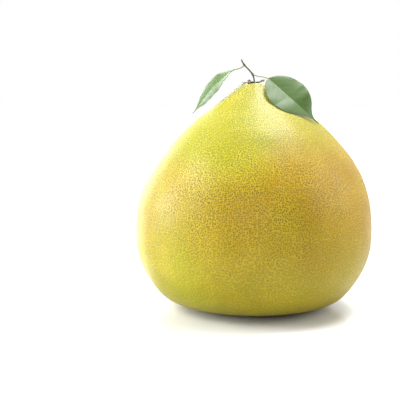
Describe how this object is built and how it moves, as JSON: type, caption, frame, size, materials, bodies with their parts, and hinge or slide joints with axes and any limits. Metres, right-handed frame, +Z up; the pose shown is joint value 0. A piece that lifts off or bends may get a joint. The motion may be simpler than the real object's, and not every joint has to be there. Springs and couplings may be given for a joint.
{
  "type": "pomelo",
  "caption": "Whole pear-shaped pomelo with a dimpled green-gold rind, a dry calyx, and a thin cut twig with leaves, resting on its flattened underside.",
  "frame": {"origin": "centre of the flat spot on the underside that the fruit rests on", "axes": "+Z up through the stem end, -Y towards the viewer, +X towards the larger leaf"},
  "size_m": [0.1694, 0.1694, 0.1774],
  "materials": {
    "rind": "satin",
    "calyx": "matte",
    "twig": "matte",
    "stalk": "satin",
    "leaf": "satin"
  },
  "bodies": {
    "root": {"fruit": "rind", "calyx": "calyx", "stem": "twig", "petiole_left": "stalk", "petiole_right": "stalk", "leaf_left": "leaf", "leaf_right": "leaf"}
  },
  "joints": []
}
